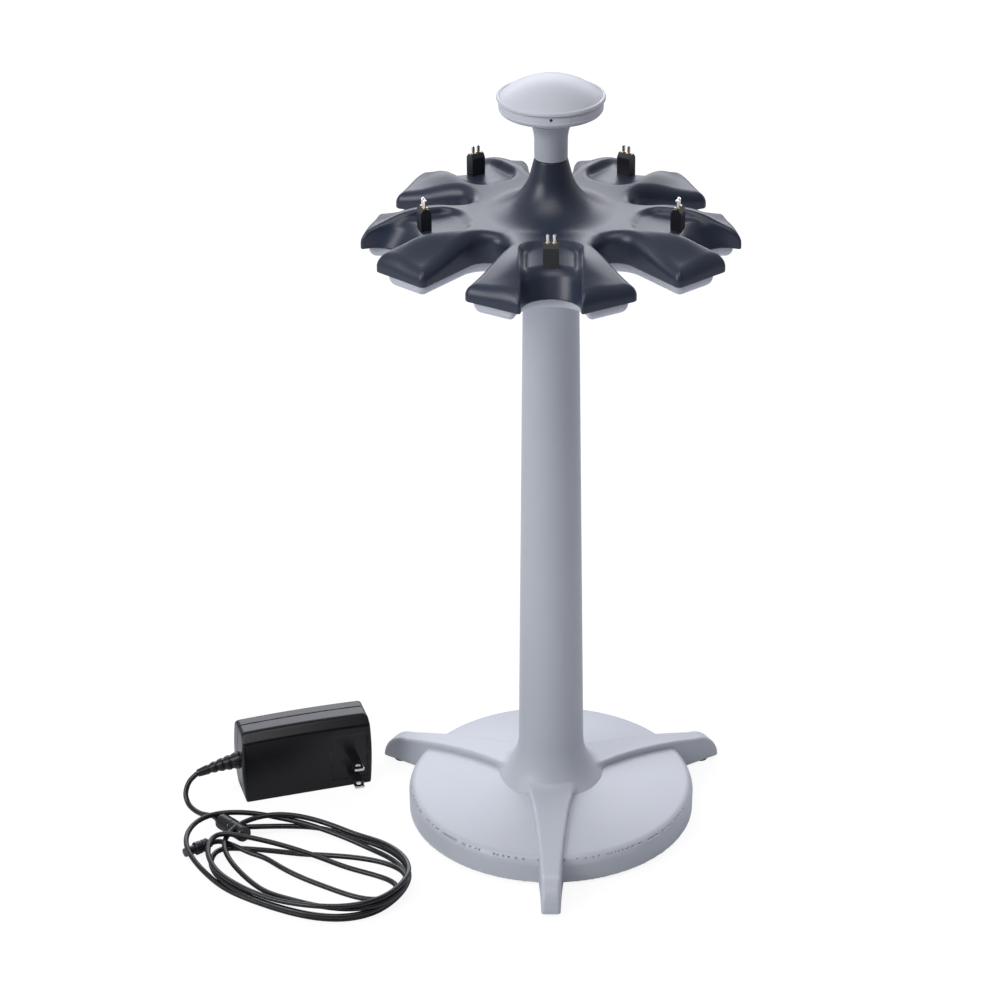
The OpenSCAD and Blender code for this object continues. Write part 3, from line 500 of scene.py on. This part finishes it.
ADAPTER_AT = (-188.8, 2.3)
ADAPTER_TURN = math.radians(17.4)
ADAPTER_LONG = (-1.2, 81.4)
ADAPTER_DEEP = 25.5
ADAPTER_HIGH = 48.0
ADAPTER_CUT = 5.6            # bevel along the upper edge of the blade face
ADAPTER_BACK_CUT = 3.0       # bevel along the upper edge of the back
ADAPTER_END_CUT = 1.8        # bevel at both ends of the blade face
ADAPTER_SPLIT = 15.0         # where the two halves of the housing meet
END_BOW = 1.6                # how far the ends and the top swell in the middle
TOP_BOW = 0.9
FIELD = (66.5, 11.5, 21, 15.5)       # field round the blades: middle and half along, then up
FIELD_DEPTH = 0.55
BLADE_AT = (69.0, 14.3)      # along the adapter, and height of the pair's middle
BLADE_PITCH = 12.7
BLADE_W = 6.35
BLADE_T = 1.5
BLADE_OUT = 16.0
BLADE_HOLE = (4.2, 1.6)      # distance from the blade's end, and radius


def adapter_uv(x, y):
    """Along the adapter and into it from its blade face."""
    x, y = x - ADAPTER_AT[0], y - ADAPTER_AT[1]
    c, s = math.cos(ADAPTER_TURN), math.sin(ADAPTER_TURN)
    return x * c + y * s, y * c - x * s


def adapter_form(x, y, z):
    u, v = adapter_uv(x, y)
    middle, half = sum(ADAPTER_LONG) / 2, (ADAPTER_LONG[1] - ADAPTER_LONG[0]) / 2
    ends = np.abs(u - middle) - half + END_BOW * ((z - 24) / 24) ** 2
    top = z - ADAPTER_HIGH + TOP_BOW * ((u - middle) / half) ** 2
    bevel = (top - v + ADAPTER_CUT) / math.sqrt(2)
    back = (top + v - ADAPTER_DEEP + ADAPTER_BACK_CUT) / math.sqrt(2)
    corner = (np.abs(u - middle) - half - v + ADAPTER_END_CUT) / math.sqrt(2)
    body = round_max(round_max(ends, top, 2.5), np.maximum(-z, bevel), 1.1)
    body = round_max(body, np.maximum(back, v - ADAPTER_DEEP), 1.4)
    body = round_max(round_max(body, -v, 0.9), corner, 0.6)
    at_u, half_u, at_z, half_z = FIELD
    field = np.maximum(np.abs(u - at_u) - half_u, np.abs(z - at_z) - half_z)
    return round_max(body, -np.maximum(field, v - FIELD_DEPTH), 0.3)


def adapter_front_form(x, y, z):
    v = adapter_uv(x, y)[1]
    return round_max(adapter_form(x, y, z), v - ADAPTER_SPLIT, 0.5)


def adapter_back_form(x, y, z):
    v = adapter_uv(x, y)[1]
    return round_max(adapter_form(x, y, z), ADAPTER_SPLIT - v, 0.5)


def blades_form(x, y, z):
    u, v = adapter_uv(x, y)
    up = np.abs(z - BLADE_AT[1]) - BLADE_PITCH / 2
    flat = np.abs(up) - BLADE_T / 2
    plan = round_max(np.abs(u - BLADE_AT[0]) - BLADE_W / 2, -v - BLADE_OUT, 1.2)
    body = round_max(np.maximum(plan, v - 1.5), flat, 0.35)
    hole = np.hypot(u - BLADE_AT[0], v + BLADE_OUT - BLADE_HOLE[0]) - BLADE_HOLE[1]
    return round_max(body, -hole, 0.2)


ADAPTER_ROOM = (-200, -2, -1), (-105, 54, 49.5)
for half_name, half_form in (("adapter_front", adapter_front_form),
                             ("adapter_back", adapter_back_form)):
    takes_over(moulded(half_name + "_moulding", half_form, *ADAPTER_ROOM, 0.6), "stand",
               "adapter_plastic", half_name)
takes_over(moulded("blades_stamped", blades_form, (-130, 3, 5), (-108, 30, 24), 0.3), "stand",
           "nickel", "plug_blades")

# ------------------------------------------------------------------ cord route

CORD_D = 3.2
LEAD_IN = [(-219, 8, 18), (-224, 6, 13), (-226, 2, 7), (-224, -3, 3), (-220, -8, 1.8),
           (-215, -13, 2.2), (-210, -18, 4.5), (-206, -22, 6)]
LEAD_OUT = [(-171, -63, 3), (-180, -58, 3.4), (-188, -53, 4), (-195, -49, 4.5), (-201, -47, 4.8),
            (-206, -49, 4.8)]
FERRITE_AT = (-193.5, -33.5)
FERRITE_Z = 5.7
FERRITE_CORD_Z = 6.2         # height of the cord in it
HEAP_AT = (-146, -71)
HEAP_TURN = -25
HEAP_SHAPE = 0.86            # 1 for ellipses, less for squarer turns
HEAP_WEDGE = 0.16            # how much wider the heap is at its far end
# each turn of the heap: centre along and across, half length, reach of its upper and lower side,
# lean
TURNS = [(0, 0, 62, 40, 46, 0), (-8, 2, 72, 38, 45, 0), (3, -4, 61, 12, 42, 3),
         (6, 2, 62, 42, 36, -4), (1, -2, 62, 8, 44, 3), (6, 0, 52, 22, 4, 0), (6, 0, 52, 22, 4, 0)]
TURN_START = 0.22
TURN_END = 4.78
TURN_POINTS = 18
ROUTE_STEP = 1.6
LEAD_IN_LONG = 64.0          # stretch at the start whose height stays as chosen
LEAD_OUT_LONG = 30           # the same at the end
CORD_CLEAR = 1.06            # diameters between the middles of crossing turns
CORD_SAG = 0.055             # how fast a raised stretch comes down again
SETTLE_ROUNDS = 14


def turned(x, y, degrees, centre):
    """The point turned about the origin and then moved with the centre."""
    c, s = math.cos(math.radians(degrees)), math.sin(math.radians(degrees))
    return centre[0] + x * c - y * s, centre[1] + x * s + y * c


def heap_point(turn):
    """The cord's middle in the heap, after so many turns, seen from above."""
    k = min(int(turn), len(TURNS) - 2)
    f = turn - k
    f = f * f * (3 - 2 * f)
    here = np.array(TURNS[k], float) * (1 - f) + np.array(TURNS[k + 1], float) * f
    x0, y0, half, upper, lower, lean = here
    w = math.radians(180 - 360 * turn)
    c, s = math.cos(w), math.sin(w)
    x = half * math.copysign(abs(c) ** HEAP_SHAPE, c)
    y = (upper if s > 0 else lower) * math.copysign(abs(s) ** HEAP_SHAPE, s) * (1 + HEAP_WEDGE * c)
    x, y = turned(x, y, lean, (x0, y0))
    return (*turned(x, y, HEAP_TURN, HEAP_AT), CORD_D / 2)


def lie_down(line, fixed):
    """Lets a line of points lie on the table and over its own earlier turns."""
    z = line[:, 2].copy()
    step = np.linalg.norm(np.diff(line[:, :2], axis=0), axis=1).mean()
    gap = int(4 * CORD_D / step)
    clear = CORD_D * CORD_CLEAR
    d2 = ((line[:, None, :2] - line[None, :, :2]) ** 2).sum(axis=2)
    order = np.arange(len(line))
    i, j = np.nonzero((d2 < clear ** 2) & (order[:, None] > order + gap))
    rise = np.sqrt(clear ** 2 - d2[i, j])
    reach = np.arange(-40, 41)
    hump = CORD_SAG * (reach * step) ** 2 / CORD_D
    for _ in range(SETTLE_ROUNDS):
        need = z.copy()
        np.maximum.at(need, i, z[j] + rise)
        need[fixed] = line[fixed, 2]
        padded = np.pad(need, 40, mode="edge")
        z = np.max([padded[40 + k:40 + k + len(z)] - h for k, h in zip(reach, hump)], axis=0)
        z = np.maximum(z, CORD_D / 2)
        z[fixed] = line[fixed, 2]
    z = np.where(fixed, z, np.maximum(evened(z, 12, 6.0), CORD_D / 2))
    return np.column_stack([line[:, :2], z])


def cord_line():
    """The whole cord's middle, from the strain relief to the plug."""
    count = int(round((TURN_END - TURN_START) * TURN_POINTS))
    heap = [heap_point(t) for t in np.linspace(TURN_START, TURN_END, count + 1)]
    points = LEAD_IN + [(*FERRITE_AT, FERRITE_CORD_Z)] + heap + LEAD_OUT
    line = catmull(points, 6)
    length = np.concatenate([[0], np.cumsum(np.linalg.norm(np.diff(line, axis=0), axis=1))])
    even = np.linspace(0, length[-1], int(length[-1] / ROUTE_STEP))
    line = np.column_stack([np.interp(even, length, line[:, k]) for k in range(3)])
    from_ends = np.minimum(even - LEAD_IN_LONG, length[-1] - LEAD_OUT_LONG - even)
    # between its ends the jacket's bends are evened out
    blend = np.clip(from_ends / 30, 0, 1)[:, None]
    line[:, :2] = line[:, :2] * (1 - blend) + evened(line[:, :2], 9, 4.5) * blend
    return lie_down(line, from_ends < 0)


route = cord_line()
cord = tube("cord", route, np.full(len(route), CORD_D / 2), 12)
takes_over(cord, "stand", "cord_jacket", "supply_cord", "cord_coil")


def sleeve(name, centres, outline, node):
    """A round piece along the cord, from (share of the way, radius) points."""
    line = catmull(centres, 40)
    way = np.linspace(0, 1, len(line))
    share, radii = np.array(outline).T
    takes_over(tube(name, line, np.interp(way, share, radii), 32), "stand", "cord_jacket", node)


def along_way(start, degrees, distances):
    """Points on a level line from the start."""
    way = np.array([math.cos(math.radians(degrees)), math.sin(math.radians(degrees)), 0])
    return [start + way * t for t in distances]


RELIEF_RIBS = 4
FERRITE_TURN = -44
PLUG_TURN = 216

c, s = math.cos(ADAPTER_TURN), math.sin(ADAPTER_TURN)
foot = np.array([ADAPTER_AT[0] - 0.4 * c - 13 * s, ADAPTER_AT[1] - 0.4 * s + 13 * c, 24.0])
tail = np.array(LEAD_IN[0], float)
ribs = [(0, 5.4), (0.06, 5.4), (0.10, 5.1)]
for k in range(RELIEF_RIBS):
    at, wide = 0.16 + 0.17 * k, 4.9 - 0.55 * k
    ribs += [(at - 0.02, wide), (at, wide - 0.5), (at + 0.05, wide - 0.6), (at + 0.07, wide - 0.15)]
ribs += [(0.94, 2.5), (0.99, 2.2), (1.0, 1.7)]
sleeve("relief_ribbed", [foot, foot * 0.5 + tail * 0.5 + (0, 0, 0.6), tail], ribs, "cord_relief")

core = [(0, 1.7), (0.001, 3.9), (0.05, 4.8), (0.10, 5.1), (0.47, 5.1), (0.48, 4.9), (0.50, 4.9),
        (0.51, 5.1), (0.90, 5.1), (0.95, 4.8), (0.999, 3.9), (1, 1.7)]
sleeve("ferrite_moulded", along_way(np.array([*FERRITE_AT, FERRITE_Z]), FERRITE_TURN, (-12, 0, 12)),
       core, "cord_ferrite")

handle = [(0, 1.7), (0.02, 2.4), (0.12, 2.7), (0.14, 3.6), (0.18, 3.9), (0.22, 3.9), (0.24, 3.6),
          (0.28, 3.6), (0.30, 3.9), (0.34, 3.9), (0.36, 3.6), (0.40, 3.6), (0.42, 3.9), (0.62, 4.0),
          (0.64, 3.6), (0.641, 2.75), (0.97, 2.75), (0.99, 2.55), (1.0, 1.3)]
sleeve("plug_moulded", along_way(np.array(LEAD_OUT[-1], float), PLUG_TURN, (-1, 8, 18)), handle,
       "jack_plug")

# ------------------------------------------------------------------ stage

FLOOR = 9000                 # half its side
corners = [(-FLOOR, -FLOOR, 0), (FLOOR, -FLOOR, 0), (FLOOR, FLOOR, 0), (-FLOOR, FLOOR, 0)]
floor = mesh_piece("floor", corners, [(0, 1, 2, 3)], smooth=False)


def new_material(name):
    """An empty material with its nodes, its links and its output node."""
    material = bpy.data.materials.new(name)
    material.use_nodes = True
    nodes = material.node_tree.nodes
    nodes.clear()
    out = nodes.new("ShaderNodeOutputMaterial")
    return material, nodes, material.node_tree.links, out


FLOOR_WHITE = 0.80           # share of plain white in what the camera sees of the floor


def white_floor():
    """Pale floor that the camera sees as white, with a trace of the object's shadow."""
    material, nodes, links, out = new_material("floor")
    diffuse = nodes.new("ShaderNodeBsdfDiffuse")
    diffuse.inputs["Color"].default_value = (0.72, 0.73, 0.75, 1)
    paper = nodes.new("ShaderNodeEmission")
    paper.inputs["Color"].default_value = (1, 1, 1, 1)
    paper.inputs["Strength"].default_value = 1.12
    path = nodes.new("ShaderNodeLightPath")
    share = nodes.new("ShaderNodeMath")
    share.operation = "MULTIPLY"
    share.inputs[1].default_value = FLOOR_WHITE
    mix = nodes.new("ShaderNodeMixShader")
    links.new(path.outputs["Is Camera Ray"], share.inputs[0])
    links.new(share.outputs[0], mix.inputs[0])
    links.new(diffuse.outputs[0], mix.inputs[1])
    links.new(paper.outputs[0], mix.inputs[2])
    links.new(mix.outputs[0], out.inputs[0])
    return material


floor.data.materials.append(white_floor())

world = bpy.data.worlds.new("world")
bpy.context.scene.world = world
world.use_nodes = True
sky = world.node_tree.nodes["Background"]
sky.inputs[0].default_value = (0.90, 0.92, 1.0, 1)
# the room is bright behind and above the stand and darker in front of it
way = world.node_tree.nodes.new("ShaderNodeTexCoord")
split = world.node_tree.nodes.new("ShaderNodeSeparateXYZ")
level = world.node_tree.nodes.new("ShaderNodeMapRange")
level.inputs["From Min"].default_value = -0.5
level.inputs["From Max"].default_value = 0.8
level.inputs["To Min"].default_value = 0.10
level.inputs["To Max"].default_value = 0.75
world.node_tree.links.new(way.outputs["Generated"], split.inputs[0])
world.node_tree.links.new(split.outputs["Y"], level.inputs["Value"])
world.node_tree.links.new(level.outputs["Result"], sky.inputs[1])


def area_light(name, place, target, size, watts, colour=(1, 1, 1)):
    """A soft lamp that faces its target, in metres."""
    data = bpy.data.lights.new(name, "AREA")
    data.shape = "RECTANGLE"
    data.size, data.size_y = size
    data.energy = watts
    data.color = colour
    lamp = link(name, data)
    lamp.location = place
    lamp.rotation_euler = (Vector(target) - Vector(place)).to_track_quat("-Z", "Y").to_euler()


area_light("key", (-1.8, -1.2, 1.5), (0, 0, 0.25), (1.2, 1.2), 29, (0.97, 0.98, 1))
area_light("back", (0, 2.3, 1.5), (0, 0, 0.25), (3.2, 1.5), 42, (0.93, 0.94, 1))
area_light("top", (-0.2, -0.9, 2.2), (0, 0, 0.2), (1.6, 1.0), 15)

# ------------------------------------------------------------------ materials

VARY = 0.03                  # slow change in colour and roughness over a piece


def surface(name, colour, rough, bump=0.15, metallic=0.0, spec=0.5):
    """Plastic or metal: fine grain in the bump, slow changes in colour and gloss."""
    material, nodes, links, out = new_material(name)
    shader = nodes.new("ShaderNodeBsdfPrincipled")
    shader.inputs["Metallic"].default_value = metallic
    shader.inputs["Specular IOR Level"].default_value = spec
    place = nodes.new("ShaderNodeTexCoord")
    slow = nodes.new("ShaderNodeTexNoise")
    slow.inputs["Scale"].default_value = 14.0
    slow.inputs["Detail"].default_value = 3.0
    links.new(place.outputs["Object"], slow.inputs["Vector"])
    ramp = nodes.new("ShaderNodeMapRange")
    ramp.inputs["To Min"].default_value = rough - VARY
    ramp.inputs["To Max"].default_value = rough + VARY
    links.new(slow.outputs["Fac"], ramp.inputs["Value"])
    links.new(ramp.outputs["Result"], shader.inputs["Roughness"])
    tint = nodes.new("ShaderNodeValToRGB")
    low = [c * (1 - VARY) for c in colour]
    tint.color_ramp.elements[0].position = 0.35
    tint.color_ramp.elements[0].color = (*low, 1)
    tint.color_ramp.elements[1].position = 0.65
    tint.color_ramp.elements[1].color = (*colour, 1)
    links.new(slow.outputs["Fac"], tint.inputs["Fac"])
    links.new(tint.outputs["Color"], shader.inputs["Base Color"])
    fine = nodes.new("ShaderNodeTexNoise")
    fine.inputs["Scale"].default_value = 900.0
    fine.inputs["Detail"].default_value = 2.0
    links.new(place.outputs["Object"], fine.inputs["Vector"])
    relief = nodes.new("ShaderNodeBump")
    relief.inputs["Strength"].default_value = bump
    relief.inputs["Distance"].default_value = 0.0002
    links.new(fine.outputs["Fac"], relief.inputs["Height"])
    links.new(relief.outputs["Normal"], shader.inputs["Normal"])
    links.new(shader.outputs[0], out.inputs[0])
    return material


MATERIALS = {name: surface(name, *values, **more) for name, values, more in (
    ("base_plastic", ((0.52, 0.54, 0.59), 0.40), {}),
    ("column_plastic", ((0.50, 0.52, 0.57), 0.42), {}),
    ("knob_plastic", ((0.58, 0.59, 0.64), 0.42), {"spec": 0.35}),
    ("rotor_plastic", ((0.022, 0.029, 0.052), 0.36), {"bump": 0.25}),
    ("cover_plastic", ((0.58, 0.60, 0.66), 0.38), {}),
    ("black_plastic", ((0.012, 0.012, 0.015), 0.35), {}),
    ("adapter_plastic", ((0.004, 0.004, 0.006), 0.26), {"spec": 0.4}),
    ("cord_jacket", ((0.008, 0.008, 0.010), 0.30), {}),
    ("rubber", ((0.02, 0.02, 0.022), 0.75), {}),
    ("steel", ((0.55, 0.56, 0.58), 0.32), {"metallic": 1.0}),
    ("nickel", ((0.80, 0.78, 0.74), 0.18), {"metallic": 1.0}),
    ("brass", ((0.75, 0.55, 0.25), 0.28), {"metallic": 1.0}),
    ("pin_metal", ((0.82, 0.80, 0.76), 0.22), {"metallic": 1.0}),
    ("bronze", ((0.45, 0.30, 0.15), 0.45), {"metallic": 1.0}),
    ("board", ((0.02, 0.12, 0.05), 0.4), {}),
    ("lens", ((0.02, 0.03, 0.025), 0.1), {}),
)}

SLOT = {part["node"]: part["material_slot"] for part in frame["record"]["subparts"]}
for name, node in frame["nodes"].items():
    if not node.material_slots:
        node.data.materials.append(None)
    for slot in node.material_slots:
        slot.material = MATERIALS[SLOT[name]]
for piece, slot in PIECES:
    piece.data.materials.append(MATERIALS[slot])

# ------------------------------------------------------------------ finish

bpy.context.scene.view_settings.view_transform = "Standard"
